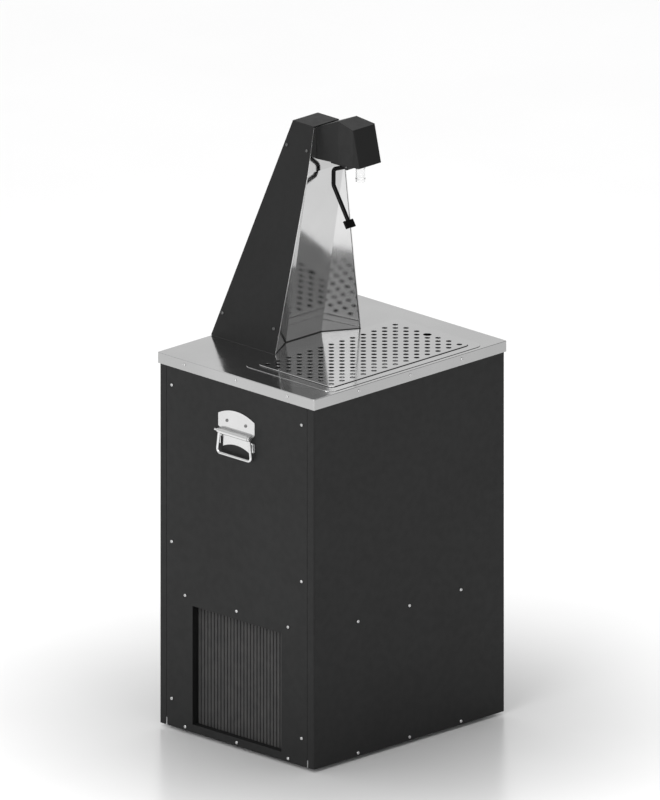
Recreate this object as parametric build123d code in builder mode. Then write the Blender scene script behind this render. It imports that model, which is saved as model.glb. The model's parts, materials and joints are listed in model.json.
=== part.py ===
from build123d import *
from math import atan2, cos, degrees, hypot, radians, sin
import os

# A floor-standing chilled-drinks dispenser: a sheet-metal cabinet with the
# cooling plant inside, a stainless worktop with a drip tray, and a serving
# tower with a push-lever tap.
#
# Millimetres.  X runs across the front, Y from front to rear, Z up.  The
# origin is on the floor, under the middle of the cabinet.

os.makedirs("parts", exist_ok=True)

# ------------------------------------------------------------------ sizes
# Worktop and cabinet
top_width = 600.0          # worktop, across
top_depth = 487.0          # worktop, front to rear
top_z = 865.0              # height of the worktop's upper face
top_sheet = 1.5            # worktop steel
lip = 25.0                 # depth of the worktop's folded lip
overhang = 3.4             # lip face to cabinet face
panel_sheet = 1.5          # cabinet panels
frame_sheet = 2.0          # posts, pans and shelf
foot_height = 8.0          # floor to cabinet
panel_return = 20.5        # front and rear panels wrap this far round the sides
seam = 1.0                 # gap between a side panel and those returns
bend = 4.0                 # outside bend of the front and rear panels
panel_top_gap = 2.0        # panels stop this far under the worktop sheet
relief_width = 4.0         # slits at the foot of each seam
relief_height = 17.0

# Frame inside the panels
post_side = 45.0           # leg of a corner post along the side
post_front = 25.0          # leg of a corner post along the front or rear
pan_flange = 16.0          # base pan's upturned edge
shelf_over_vent = 8.0      # air openings to the middle shelf
shelf_flange = 26.0        # its upturned edge, from the underside
ring_drop = 30.0           # depth of the ring under the worktop
ring_width = 18.0          # width of its top leg

# Pan-head screws
screw_d = 4.0              # shank
screw_head_d = 7.2
screw_head_h = 2.2
screw_clear = 0.05         # radial clearance of a shank in its hole
side_screw_in = 16.6       # side panel edge to the screws that hold it to the posts
side_screw_z = (72.0, 435.0, 797.0)
row_screws = (-160.0, 0.0, 160.0)
shelf_screw_rise = 12.0    # shelf underside to its screws
base_screw_z = 16.0
lip_screw_z = 854.0

# Air opening in each side panel
vent_width = 276.0
vent_height = 274.0
vent_bottom = 26.0
vent_reveal = 15.6
holder_depth = 16.0        # frame behind the opening
holder_wall = 5.0
pleats = 27                # folds of the filter, and bars of the outlet
filter_clear = 0.3

# Chest handles
handle_z = 730.0           # pivot height
handle_width = 112.6
handle_sheet = 1.5
handle_top = 767.0         # upper corners of the plate
handle_crown = 781.4       # top of its arched edge
handle_foot = 694.0        # lower corners of the middle tongue
handle_arch = 9.5          # rise of the arched edge between them
tongue_half = 41.0
strip_inner = 49.0         # side strips beside the tongue
strip_bottom = 698.0
notch_high = 738.6         # slanted notches where the bail's eyes turn
notch_mid = 726.0
notch_low = 719.0
handle_proud = 8.0         # panel face to pivot axis
barrel_r = 6.7
barrel_half = 43.5
pin_d = 6.0                # pivot pin of the handle
running = 0.05             # radial clearance of every running fit
pin_long = 60.5            # how far the pin reaches to its head and its tail
pin_short = 50.0
wire_d = 6.6
eye_r = 5.6
eye_length = 6.0
bail_gap = 0.3             # barrel end to eye
bail_half_bottom = 53.0
bail_drop = 51.5           # pivot to the centre of the grip
bail_bend = 9.0
handle_screw_y = 29.0
handle_screw_z = 755.0

# Drip tray and grid
tray_y = -97.0             # middle of the tray, front to rear
tray_width = 480.0         # flange
tray_depth = 273.0
tray_corner = 22.0
tray_sheet = 1.2
tray_fall = 38.0           # worktop face to the tray's floor
grid_width = 430.0
grid_depth = 232.0
grid_corner = 12.0
grid_sheet = 1.5
grid_rise = 3.2            # grid top over the worktop
grid_rim = 20.0            # depth of the grid's folded rim
grid_gap = 1.5             # grid to tray wall
grid_notch = 9.0           # open corners of the folded rim
hole_pitch = 33.2          # each row is offset by half of this
hole_d = 12.5
finger_hole_d = 19.0
hole_columns = 13
hole_rows = 7
ledge = (30.0, 7.0, 2.0)   # tabs that carry the grid
seat_gap = 0.3
drain_bore_d = 20.0
hose_d = 18.0

# Serving tower
gasket = 1.0               # seal between tower and worktop
tower_height = 509.5       # above the gasket's underside
tower_base_half = 133.3
tower_top_half = 39.4
tower_front_base = 44.0    # y of the side plate's front edge at the worktop
tower_front_knee = 17.5    # y of that edge above the knee
facet_end = 1.26           # width left of each side facet at the knee
tower_rear_base = 243.5
tower_rear_top = 83.8
tower_sheet = 2.0
face_half = 55.4           # half the width of the middle facet
face_base = 86.7           # y of the middle facet at the worktop
face_sheet = 1.5
face_set_back = 2.0        # side plate edges to the face
cap_lip = 12.0             # the cap's folded edges
tower_screws_low = 54.0
tower_screws_high = 54.5   # below the tower's upper end
tower_screws = (
    (57.9, tower_screws_low),
    (217.8, tower_screws_low),
    (29.7, tower_height - tower_screws_high),
    (91.7, tower_height - tower_screws_high),
)
window_half = 21.5         # opening in the tower's face behind the head

# Head: hood, arm, valve, nozzle and lever, with heights from the tower's upper end
head_z = top_z + tower_height
hood_low = -74.5
hood_front_low = (-119.2, -65.1)
hood_front_high = (-99.4, 19.5)
hood_ridge = (-47.3, 27.5)
hood_back_high = (19.2, -0.3)
hood_front_half = 35.4
hood_ridge_half = 28.5
hood_back_half = 28.0
hood_wall = 2.0
hood_bend = 4.0
arm_half = 20.0
arm_sheet = 2.0
arm_z = head_z - 16.5      # top of the arm's web
arm_leg = 18.0
arm_front = -104.0
arm_plate_y = 42.0         # cross plate inside the tower
hood_boss_y = (-72.0, -8.0)   # hood screws
valve_boss_y = (-58.0, -22.0)
valve_half = 16.0
valve_top = head_z - 34.5
valve_front = -102.0
valve_rear = -12.0
valve_low = head_z - 79.5  # underside of the part that hangs below the hood
valve_low_front = -67.0
valve_step = head_z - 65.5  # underside of the part over the nozzle
nozzle_y = -88.0
nozzle_d = 24.0
nozzle_tip_d = 21.0
nozzle_low = head_z - 108.0
nozzle_wall = 1.6
nozzle_ring = 7.0          # ring this far above the tip
spigot_length = 8.0
lever_pivot = (-60.0, head_z - 78.5)
lever_d = 9.5
lever_eye_r = 7.0
lever_eye_half = 5.0
lever_pin_d = 5.0
lever_bends = ((-4.6, head_z - 99.0), (-4.2, head_z - 136.0), (-49.0, head_z - 207.0))
lever_slot_half = 5.3
lever_slot_top = head_z - 74.2
paddle = (27.0, 18.0, 5.0)  # across, along the lever, thick
plunger_y = -35.0
plunger_d = 6.0
plunger_collar_d = 10.6
plunger_bore_d = 11.0
plunger_seat = head_z - 71.5  # floor of the valve's bore
plunger_top = head_z - 57.5
plunger_bore_top = head_z - 47.5
spring_wire = 1.1
spring_turns = 5

# Cooling plant
tank_width = 400.0
tank_depth = 370.0
tank_under_top = 190.0     # worktop to the top of the tank's lid
tank_wall = 30.0
tank_steel = 1.5
lid_height = 25.0
coil_tube_d = 10.0
coil_pitch = 26.0
coil_turns = 8
coil_half_x = 130.0
coil_half_y = 110.0
inner_coil_half_x = 100.0
inner_coil_half_y = 80.0
coil_corner = 35.0
pipe_d = 8.0
agitator_at = (0.0, -20.0)
agitator_shaft_d = 8.0
motor_d = 70.0
condenser_gap = 7.0        # filter frame to condenser
condenser_depth = 40.0
condenser_half = 135.0
shroud_depth = 30.0
fan_z = 152.0
fan_d = 222.0
fan_tip_gap = 4.0
fan_hub_d = 60.0
fan_shaft_d = 6.0
fan_blades = 5
compressor_at = (10.0, 20.0)
compressor_d = 160.0
compressor_low = 30.0
compressor_high = 225.0
compressor_shell = 12.0    # stands for the pump and motor inside

# Connection bay in the rear panel
bay_x = 150.0              # middle
bay_width = 200.0
bay_bottom = 45.0
bay_height = 105.0
bay_depth = 38.0
water_d = 26.4             # threaded water inlet
water_at = (100.0, 97.0)   # x, z
drain_d = 20.0             # drain spigot
drain_at = (150.0, 97.0)
socket_at = (205.0, 116.0)
rocker_at = (205.0, 68.0)
spigot_reach = 25.0

# ------------------------------------------------------- derived places
cab_x = top_width / 2 - overhang              # cabinet's outer faces
cab_y = top_depth / 2 - overhang
skin_x = cab_x - panel_sheet                  # inner faces of the panels
skin_y = cab_y - panel_sheet
pan_x = skin_x - frame_sheet                  # outer faces of pan, shelf, ring
pan_y = skin_y - frame_sheet
under_top = top_z - top_sheet
panel_top = under_top - panel_top_gap
panel_height = panel_top - foot_height
side_panel_half = cab_y - panel_return - seam
vent_z = vent_bottom + vent_height / 2
tower_z = top_z + gasket
tower_lean = (tower_base_half - tower_top_half) / tower_height
hinge_x = cab_x + handle_proud
shelf_z = vent_bottom + vent_height + shelf_over_vent
shelf_screw_z = shelf_z + shelf_screw_rise
side_screw_y = side_panel_half - side_screw_in
facet_reach = face_half + facet_end + tower_sheet
tower_knee = tower_height * (tower_base_half - facet_reach) / (tower_base_half - tower_top_half)
condenser_out = cab_x - vent_reveal - holder_depth - condenser_gap
condenser_mid = condenser_out - condenser_depth / 2
bay_plate_y = cab_y - bay_depth
water_valve_y = bay_plate_y - 9.1
liquid_riser_y = 160.0
suction_riser_x = cab_x - 58.6
hose_riser_x = cab_x - 51.6

UP = (Align.CENTER, Align.CENTER, Align.MIN)
DOWN = (Align.CENTER, Align.CENTER, Align.MAX)

# Face planes: local x runs across the face, local y up, local z outwards.
LEFT = Plane(origin=(-cab_x, 0, 0), x_dir=(0, -1, 0), z_dir=(-1, 0, 0))
RIGHT = Plane(origin=(cab_x, 0, 0), x_dir=(0, 1, 0), z_dir=(1, 0, 0))
FRONT = Plane(origin=(0, -cab_y, 0), x_dir=(1, 0, 0), z_dir=(0, -1, 0))
REAR = Plane(origin=(0, cab_y, 0), x_dir=(-1, 0, 0), z_dir=(0, 1, 0))
FACES = (LEFT, RIGHT, FRONT, REAR)
SIDES = (("left", -1, LEFT), ("right", 1, RIGHT))


# -------------------------------------------------------------- helpers
def on_face(plane, points):
    """Places on a plane, from (across, up) pairs."""
    return [plane.location * Location((u, v, 0)) for u, v in points]


def lip_face(plane):
    """The worktop lip's face outside a cabinet face."""
    return plane.offset(overhang)


def pan_screw(length):
    """A pan-head screw, its head standing on local z = 0."""
    with BuildPart() as screw:
        Cylinder(screw_head_d / 2, screw_head_h, align=UP)
        fillet(screw.edges().sort_by(Axis.Z)[-1], screw_head_h * 0.6)
        for turn in (0, 90):
            with Locations(Location((0, 0, screw_head_h), (0, 0, turn))):
                Box(0.9, 3.6, 2.0, mode=Mode.SUBTRACT)
        Cylinder(screw_d / 2, length, align=DOWN)
    return screw.part


def tube(points, bend_radius, outer, bore):
    """A round tube along straight runs joined by tangent arcs."""
    with BuildPart() as made:
        with BuildLine() as route:
            FilletPolyline(*points, radius=bend_radius)
        with BuildSketch(Plane(origin=route.line @ 0, z_dir=route.line % 0)):
            Circle(outer / 2)
            if bore:
                Circle(bore / 2, mode=Mode.SUBTRACT)
        sweep()
    return made


def loops(half_x, half_y, low, pitch, turns):
    """Corner points of a coil of rectangular turns that climb as they go round."""
    corners = ((half_x, half_y), (-half_x, half_y), (-half_x, -half_y), (half_x, -half_y))
    return [
        (*corners[step % 4], low + pitch * step / 4)
        for step in range(4 * turns + 1)
    ]


def tower_half(height):
    """Half the tower's outer width at a height above its gasket."""
    return tower_base_half - tower_lean * height


def tower_slab(side, outset, thickness):
    """Outline, in the XZ plane, of a sheet that leans with the tower's side."""
    return [
        (side * (tower_half(height) - depth), tower_z + height)
        for height, depth in (
            (0, outset),
            (tower_height, outset),
            (tower_height, outset + thickness),
            (0, outset + thickness),
        )
    ]


def tower_wedge(outset):
    """Outline, in the XZ plane, of the room between the tower's two sides."""
    base = tower_base_half - outset
    top = tower_top_half - outset
    return [
        (-base, tower_z),
        (base, tower_z),
        (top, tower_z + tower_height),
        (-top, tower_z + tower_height),
    ]


def front_edge(height):
    """y of the side plate's front edge at a height above the gasket."""
    if height > tower_knee:
        return tower_front_knee
    share = height / tower_knee
    return tower_front_base + (tower_front_knee - tower_front_base) * share


def rear_edge(height):
    """y of the side plate's rear edge at a height above the gasket."""
    return tower_rear_base + (tower_rear_top - tower_rear_base) * height / tower_height


# ----------------------------------------------------- frame and panels
with BuildPart() as levelling_feet:
    with GridLocations(500, 390, 2, 2):
        Cone(17, 14, foot_height - 2, align=UP)
        Cylinder(17, 2, align=UP)
        with Locations((0, 0, foot_height - 2)):
            Cylinder(14, 2, align=UP)
levelling_feet.part.label = "levelling_feet"
export_step(levelling_feet.part, "parts/levelling_feet.step")

with BuildPart() as base_pan:
    with Locations((0, 0, foot_height)):
        Box(2 * pan_x, 2 * pan_y, pan_flange, align=UP)
    with Locations((0, 0, foot_height + frame_sheet)):
        Box(
            2 * (pan_x - frame_sheet),
            2 * (pan_y - frame_sheet),
            pan_flange,
            align=UP,
            mode=Mode.SUBTRACT,
        )
    for face in FACES:
        with Locations(*on_face(face, [(u, base_screw_z) for u in row_screws])):
            Cylinder(screw_d / 2 + screw_clear, 30, mode=Mode.SUBTRACT)
base_pan.part.label = "base_pan"
export_step(base_pan.part, "parts/base_pan.step")

with BuildPart() as corner_posts:
    with BuildSketch(Plane.XY.offset(foot_height)):
        for side_x in (-1, 1):
            for side_y in (-1, 1):
                with Locations((side_x * (skin_x - frame_sheet / 2), side_y * (skin_y - post_side / 2))):
                    Rectangle(frame_sheet, post_side)
                with Locations((side_x * (skin_x - post_front / 2), side_y * (skin_y - frame_sheet / 2))):
                    Rectangle(post_front, frame_sheet)
        RectangleRounded(2 * skin_x, 2 * skin_y, bend - panel_sheet, mode=Mode.INTERSECT)
    extrude(amount=under_top - frame_sheet - foot_height)
    for face in (LEFT, RIGHT):
        places = [(u, z) for u in (-side_screw_y, side_screw_y) for z in side_screw_z]
        with Locations(*on_face(face, places)):
            Cylinder(screw_d / 2 + screw_clear, 30, mode=Mode.SUBTRACT)
corner_posts.part.label = "corner_posts"
export_step(corner_posts.part, "parts/corner_posts.step")

shelf_holes = (
    (-condenser_mid, liquid_riser_y),
    (suction_riser_x, coil_half_y),
    (hose_riser_x, tray_y),
    (water_at[0], water_valve_y),
)
with BuildPart() as middle_shelf:
    with Locations((0, 0, shelf_z)):
        Box(2 * pan_x, 2 * pan_y, shelf_flange, align=UP)
    with Locations((0, 0, shelf_z + frame_sheet)):
        Box(
            2 * (pan_x - frame_sheet),
            2 * (pan_y - frame_sheet),
            shelf_flange,
            align=UP,
            mode=Mode.SUBTRACT,
        )
    with Locations(*[(x, y, shelf_z) for x, y in shelf_holes]):
        Cylinder(hose_d / 2 + 2, 20, mode=Mode.SUBTRACT)
    for face in FACES:
        with Locations(*on_face(face, [(u, shelf_screw_z) for u in row_screws])):
            Cylinder(screw_d / 2 + screw_clear, 30, mode=Mode.SUBTRACT)
middle_shelf.part.label = "middle_shelf"
export_step(middle_shelf.part, "parts/middle_shelf.step")

with BuildPart() as top_frame:
    with Locations((0, 0, under_top)):
        Box(2 * pan_x, 2 * pan_y, ring_drop, align=DOWN)
        Box(
            2 * (pan_x - ring_width),
            2 * (pan_y - ring_width),
            ring_drop,
            align=DOWN,
            mode=Mode.SUBTRACT,
        )
    with Locations((0, 0, under_top - frame_sheet)):
        Box(
            2 * (pan_x - frame_sheet),
            2 * (pan_y - frame_sheet),
            ring_drop,
            align=DOWN,
            mode=Mode.SUBTRACT,
        )
    for face in FACES:
        with Locations(*on_face(face, [(u, lip_screw_z) for u in row_screws])):
            Cylinder(screw_d / 2 + screw_clear, 30, mode=Mode.SUBTRACT)
top_frame.part.label = "top_frame"
export_step(top_frame.part, "parts/top_frame.step")


def wrapped_panel(direction):
    """A front (-1) or rear (1) panel, folded round both corners."""
    face = FRONT if direction < 0 else REAR
    with BuildPart() as panel:
        with BuildSketch(Plane.XY.offset(foot_height)):
            with Locations((0, direction * (cab_y - panel_return / 2))):
                Rectangle(2 * cab_x, panel_return)
            corners = vertices().group_by(Axis.Y)[0 if direction < 0 else -1]
            fillet(corners, bend)
            with BuildSketch(mode=Mode.SUBTRACT):
                with Locations((0, direction * (cab_y - panel_sheet - panel_return / 2))):
                    Rectangle(2 * skin_x, panel_return)
                inner = vertices().group_by(Axis.Y)[0 if direction < 0 else -1]
                fillet(inner, bend - panel_sheet)
        extrude(amount=panel_height)
        screw_places = [(u, z) for u in row_screws for z in (base_screw_z, shelf_screw_z, lip_screw_z)]
        with Locations(*on_face(face, screw_places)):
            Cylinder(screw_d / 2 + screw_clear, 10, mode=Mode.SUBTRACT)
        seam_y = direction * (cab_y - panel_return)
        with Locations((-cab_x, seam_y, foot_height), (cab_x, seam_y, foot_height)):
            Box(10, relief_width, 2 * relief_height, mode=Mode.SUBTRACT)
    return panel


front_panel = wrapped_panel(-1)
front_panel.part.label = "front_panel"
export_step(front_panel.part, "parts/front_panel.step")

blank_rear = wrapped_panel(1)
with BuildPart() as rear_panel:
    add(blank_rear.part)
    with Locations((bay_x, cab_y, bay_bottom)):
        Box(bay_width, 10, bay_height, align=UP, mode=Mode.SUBTRACT)
    with BuildSketch(REAR):
        with Locations((130, 170)):
            with GridLocations(0, 16, 1, 12):
                SlotOverall(180, 6)
        with Locations((0, 600)):
            with GridLocations(0, 16, 1, 6):
                SlotOverall(220, 6)
    extrude(amount=-2 * panel_sheet, mode=Mode.SUBTRACT)
rear_panel.part.label = "rear_panel"
export_step(rear_panel.part, "parts/rear_panel.step")

for name, side, face in SIDES:
    with BuildPart() as side_panel:
        with BuildSketch(face):
            with Locations((0, foot_height + panel_height / 2)):
                Rectangle(2 * side_panel_half, panel_height)
        extrude(amount=-panel_sheet)
        with BuildSketch(face):
            with Locations((0, vent_z)):
                Rectangle(vent_width + 2 * panel_sheet, vent_height + 2 * panel_sheet)
        extrude(amount=-vent_reveal)
        with BuildSketch(face):
            with Locations((0, vent_z)):
                Rectangle(vent_width, vent_height)
        extrude(amount=-vent_reveal, mode=Mode.SUBTRACT)
        rim = [
            edge
            for edge in side_panel.edges().filter_by(GeomType.LINE)
            if abs(abs(edge.center().X) - cab_x) < 0.01
            and abs(edge.center().Y) < vent_width / 2 + 1
            and vent_bottom - 1 < edge.center().Z < vent_bottom + vent_height + 1
        ]
        fillet(rim, 1.0)
        places = [(u, z) for u in (-side_screw_y, side_screw_y) for z in side_screw_z]
        places += [(u, z) for u in row_screws for z in (base_screw_z, shelf_screw_z, lip_screw_z)]
        places += [(-handle_screw_y, handle_screw_z), (handle_screw_y, handle_screw_z)]
        with Locations(*on_face(face, places)):
            Cylinder(screw_d / 2 + screw_clear, 10, mode=Mode.SUBTRACT)
        corner = side_panel_half
        with Locations((side * cab_x, -corner, foot_height), (side * cab_x, corner, foot_height)):
            Box(10, relief_width, 2 * relief_height, mode=Mode.SUBTRACT)
    side_panel.part.label = f"{name}_side_panel"
    export_step(side_panel.part, f"parts/{name}_side_panel.step")

# Frames behind the two air openings, a pleated filter on the left where the
# air goes in, and upright bars on the right where it leaves.
with BuildPart() as vent_frames:
    for face in (LEFT, RIGHT):
        with BuildSketch(face.offset(-vent_reveal)):
            with Locations((0, vent_z)):
                Rectangle(vent_width + 2 * holder_wall, vent_height + 2 * holder_wall)
                Rectangle(vent_width, vent_height, mode=Mode.SUBTRACT)
        extrude(amount=-holder_depth)
vent_frames.part.label = "vent_frames"
export_step(vent_frames.part, "parts/vent_frames.step")

pleat = (vent_width - 2 * filter_clear) / pleats
pleat_out = cab_x - vent_reveal - 0.5
pleat_in = pleat_out - 6.0
pleat_back = pleat_in - 2.0
with BuildPart() as air_filter:
    with BuildSketch(Plane.XY.offset(vent_bottom + filter_clear)):
        start = -vent_width / 2 + filter_clear
        outline = []
        for fold in range(pleats):
            for share, x in ((0.0, pleat_in), (0.08, pleat_out), (0.76, pleat_out), (0.84, pleat_in)):
                outline.append((-x, start + pleat * (fold + share)))
        outline.append((-pleat_in, -start))
        outline.append((-pleat_back, -start))
        outline.append((-pleat_back, start))
        with BuildLine():
            Polyline(*outline, close=True)
        make_face()
    extrude(amount=vent_height - 2 * filter_clear)
air_filter.part.label = "air_filter"
export_step(air_filter.part, "parts/air_filter.step")

with BuildPart() as outlet_bars:
    bar_x = cab_x - vent_reveal - holder_depth / 2
    with BuildSketch(Plane.XY.offset(vent_bottom + filter_clear)):
        with Locations((bar_x, 0)):
            with GridLocations(0, pleat, 1, pleats):
                Rectangle(12, 3.2)
    extrude(amount=vent_height - 2 * filter_clear)
    with Locations((bar_x, 0, vent_z - 70), (bar_x, 0, vent_z + 70)):
        Box(4, vent_width - 2 * filter_clear, 6)
outlet_bars.part.label = "outlet_bars"
export_step(outlet_bars.part, "parts/outlet_bars.step")

panel_screw = pan_screw(10)
with BuildPart() as cabinet_screws:
    for face in (LEFT, RIGHT):
        places = [(u, z) for u in (-side_screw_y, side_screw_y) for z in side_screw_z]
        places += [(u, z) for u in row_screws for z in (base_screw_z, shelf_screw_z)]
        with Locations(*on_face(face, places)):
            add(panel_screw)
    for face in (FRONT, REAR):
        places = [(u, z) for u in row_screws for z in (base_screw_z, shelf_screw_z)]
        with Locations(*on_face(face, places)):
            add(panel_screw)
cabinet_screws.part.label = "cabinet_screws"
export_step(cabinet_screws.part, "parts/cabinet_screws.step")

# --------------------------------------------------------- chest handles
handle_screw = pan_screw(8)
for name, side, face in SIDES:
    with BuildPart() as plate:
        half = handle_width / 2
        with BuildSketch(face):
            with BuildLine():
                ThreePointArc((half, handle_top), (0, handle_crown), (-half, handle_top))
                Polyline(
                    (-half, handle_top),
                    (-half, notch_high),
                    (-tongue_half - 2, notch_mid),
                    (-tongue_half - 2, notch_low),
                    (-half, notch_low),
                    (-half, strip_bottom),
                    (-strip_inner, strip_bottom),
                    (-strip_inner, notch_low - 3),
                    (-tongue_half, notch_low - 3),
                    (-tongue_half, handle_foot),
                )
                ThreePointArc(
                    (-tongue_half, handle_foot),
                    (0, handle_foot + handle_arch),
                    (tongue_half, handle_foot),
                )
                Polyline(
                    (tongue_half, handle_foot),
                    (tongue_half, notch_low - 3),
                    (strip_inner, notch_low - 3),
                    (strip_inner, strip_bottom),
                    (half, strip_bottom),
                    (half, notch_low),
                    (tongue_half + 2, notch_low),
                    (tongue_half + 2, notch_mid),
                    (half, notch_high),
                    (half, handle_top),
                )
            make_face()
        extrude(amount=handle_sheet)
        with Locations(Location((side * hinge_x, 0, handle_z), (90, 0, 0))):
            Cylinder(barrel_r, 2 * barrel_half)
        with Locations((side * (cab_x + handle_sheet), 0, handle_z)):
            Box(3.0, 2 * barrel_half, barrel_r)
        with Locations((side * (cab_x - 5), 0, handle_z)):
            Box(10, 2 * barrel_half + 2, 4 * barrel_r, mode=Mode.SUBTRACT)
        with Locations(Location((side * hinge_x, 0, handle_z), (90, 0, 0))):
            Cylinder(pin_d / 2 + running, 3 * barrel_half, mode=Mode.SUBTRACT)
        with Locations(*on_face(face, [(-handle_screw_y, handle_screw_z), (handle_screw_y, handle_screw_z)])):
            Cylinder(screw_d / 2 + screw_clear, 10, mode=Mode.SUBTRACT)
    plate.part.label = f"{name}_handle_plate"
    export_step(plate.part, f"parts/{name}_handle_plate.step")

    eye_inner = barrel_half + bail_gap
    arm_top = eye_inner + eye_length / 2
    grip_z = handle_z - bail_drop
    with BuildPart() as bail:
        with BuildLine() as bail_route:
            FilletPolyline(
                (side * hinge_x, -arm_top, handle_z - 4),
                (side * hinge_x, -bail_half_bottom, grip_z),
                (side * hinge_x, bail_half_bottom, grip_z),
                (side * hinge_x, arm_top, handle_z - 4),
                radius=bail_bend,
            )
        with BuildSketch(Plane(origin=bail_route.line @ 0, z_dir=bail_route.line % 0)):
            Circle(wire_d / 2)
        sweep()
        with Locations(
            Location((side * hinge_x, -arm_top, handle_z), (90, 0, 0)),
            Location((side * hinge_x, arm_top, handle_z), (90, 0, 0)),
        ):
            Cylinder(eye_r, eye_length)
            Cylinder(pin_d / 2 + running, 2 * eye_length, mode=Mode.SUBTRACT)
    bail.part.label = f"{name}_handle_bail"
    export_step(bail.part, f"parts/{name}_handle_bail.step")

with BuildPart() as handle_pins:
    for side in (-1, 1):
        start = side * pin_short
        with BuildSketch(Plane(origin=(side * hinge_x, start, handle_z), z_dir=(0, -side, 0))):
            Circle(pin_d / 2)
        extrude(amount=pin_short + pin_long)
    chamfer(handle_pins.edges().filter_by(GeomType.CIRCLE), 0.8)
handle_pins.part.label = "handle_pins"
export_step(handle_pins.part, "parts/handle_pins.step")

with BuildPart() as handle_screws:
    for name, side, face in SIDES:
        spots = [(-handle_screw_y, handle_screw_z), (handle_screw_y, handle_screw_z)]
        with Locations(*on_face(face.offset(handle_sheet), spots)):
            add(handle_screw)
handle_screws.part.label = "handle_screws"
export_step(handle_screws.part, "parts/handle_screws.step")

# ------------------------------------------------- worktop and drip tray
well_width = grid_width + 2 * grid_gap
well_depth = grid_depth + 2 * grid_gap
well_corner = grid_corner + grid_gap
hole_clear = 0.5
tower_bolts = ((-100.0, 110.0), (-100.0, 200.0), (100.0, 110.0), (100.0, 200.0))
tube_rise_y = 165.0        # where the supply tube comes through the worktop
supply_d = 12.0

with BuildPart() as worktop:
    with BuildSketch(Plane.XY.offset(top_z)):
        RectangleRounded(top_width, top_depth, 3)
    extrude(amount=-lip)
    fillet(worktop.faces().sort_by(Axis.Z)[-1].edges(), top_sheet)
    with BuildSketch(Plane.XY.offset(under_top)):
        RectangleRounded(top_width - 2 * top_sheet, top_depth - 2 * top_sheet, 1.5)
    extrude(amount=-lip, mode=Mode.SUBTRACT)
    with BuildSketch(Plane.XY.offset(top_z)):
        with Locations((0, tray_y)):
            RectangleRounded(
                well_width + 2 * (tray_sheet + hole_clear),
                well_depth + 2 * (tray_sheet + hole_clear),
                well_corner + tray_sheet + hole_clear,
            )
        with Locations((0, tube_rise_y)):
            Circle(supply_d / 2 + 4)
        with Locations(*tower_bolts):
            Circle(screw_d / 2 + screw_clear)
    extrude(amount=-2 * top_sheet, mode=Mode.SUBTRACT)
    for face in FACES:
        with Locations(*on_face(face, [(u, lip_screw_z) for u in row_screws])):
            Cylinder(screw_d / 2 + screw_clear, 10, mode=Mode.SUBTRACT)
worktop.part.label = "worktop"
export_step(worktop.part, "parts/worktop.step")

lip_screw = pan_screw(12)
with BuildPart() as worktop_screws:
    for face in FACES:
        with Locations(*on_face(lip_face(face), [(u, lip_screw_z) for u in row_screws])):
            add(lip_screw)
worktop_screws.part.label = "worktop_screws"
export_step(worktop_screws.part, "parts/worktop_screws.step")

tray_floor = top_z - tray_fall
rim_bottom = top_z + grid_rise - grid_rim
with BuildPart() as drip_tray:
    with BuildSketch(Plane.XY.offset(top_z)):
        with Locations((0, tray_y)):
            RectangleRounded(tray_width, tray_depth, tray_corner)
    extrude(amount=tray_sheet)
    fillet(drip_tray.faces().sort_by(Axis.Z)[-1].edges(), 0.8)
    with BuildSketch(Plane.XY.offset(top_z)):
        with Locations((0, tray_y)):
            RectangleRounded(
                well_width + 2 * tray_sheet,
                well_depth + 2 * tray_sheet,
                well_corner + tray_sheet,
            )
    extrude(amount=-tray_fall)
    with BuildSketch(Plane.XY.offset(top_z + tray_sheet)):
        with Locations((0, tray_y)):
            RectangleRounded(well_width, well_depth, well_corner)
    extrude(amount=-tray_fall, mode=Mode.SUBTRACT)
    for side_x in (-1, 1):
        for side_y in (-1, 1):
            inner_y = tray_y + side_y * (well_depth / 2 - ledge[1] / 2)
            with Locations((side_x * 150, inner_y, rim_bottom - seat_gap)):
                Box(*ledge, align=DOWN)
    with Locations((0, tray_y, tray_floor)):
        Cylinder(drain_bore_d / 2, 10, mode=Mode.SUBTRACT)
drip_tray.part.label = "drip_tray"
export_step(drip_tray.part, "parts/drip_tray.step")

with BuildPart() as drip_grid:
    with BuildSketch(Plane.XY.offset(top_z + grid_rise)):
        with Locations((0, tray_y)):
            RectangleRounded(grid_width, grid_depth, grid_corner)
    extrude(amount=-grid_rim)
    fillet(drip_grid.faces().sort_by(Axis.Z)[-1].edges(), grid_sheet)
    with BuildSketch(Plane.XY.offset(top_z + grid_rise - grid_sheet)):
        with Locations((0, tray_y)):
            RectangleRounded(
                grid_width - 2 * grid_sheet,
                grid_depth - 2 * grid_sheet,
                grid_corner - grid_sheet,
            )
    extrude(amount=-grid_rim, mode=Mode.SUBTRACT)
    with Locations((0, tray_y, rim_bottom)):
        with GridLocations(grid_width, grid_depth, 2, 2):
            Box(
                4 * grid_notch,
                4 * grid_notch,
                2 * (grid_rim - 4 * grid_sheet),
                mode=Mode.SUBTRACT,
            )
    with BuildSketch(Plane.XY.offset(top_z + grid_rise)):
        with Locations((0, tray_y)):
            with GridLocations(hole_pitch, hole_pitch, hole_columns, hole_rows):
                Circle(hole_d / 2)
            with GridLocations(hole_pitch, hole_pitch, hole_columns - 1, hole_rows - 1):
                Circle(hole_d / 2)
            with Locations((hole_pitch * (hole_columns - 1) / 2, 0)):
                Circle(finger_hole_d / 2)
    extrude(amount=-2 * grid_sheet, mode=Mode.SUBTRACT)
drip_grid.part.label = "drip_grid"
export_step(drip_grid.part, "parts/drip_grid.step")

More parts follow.
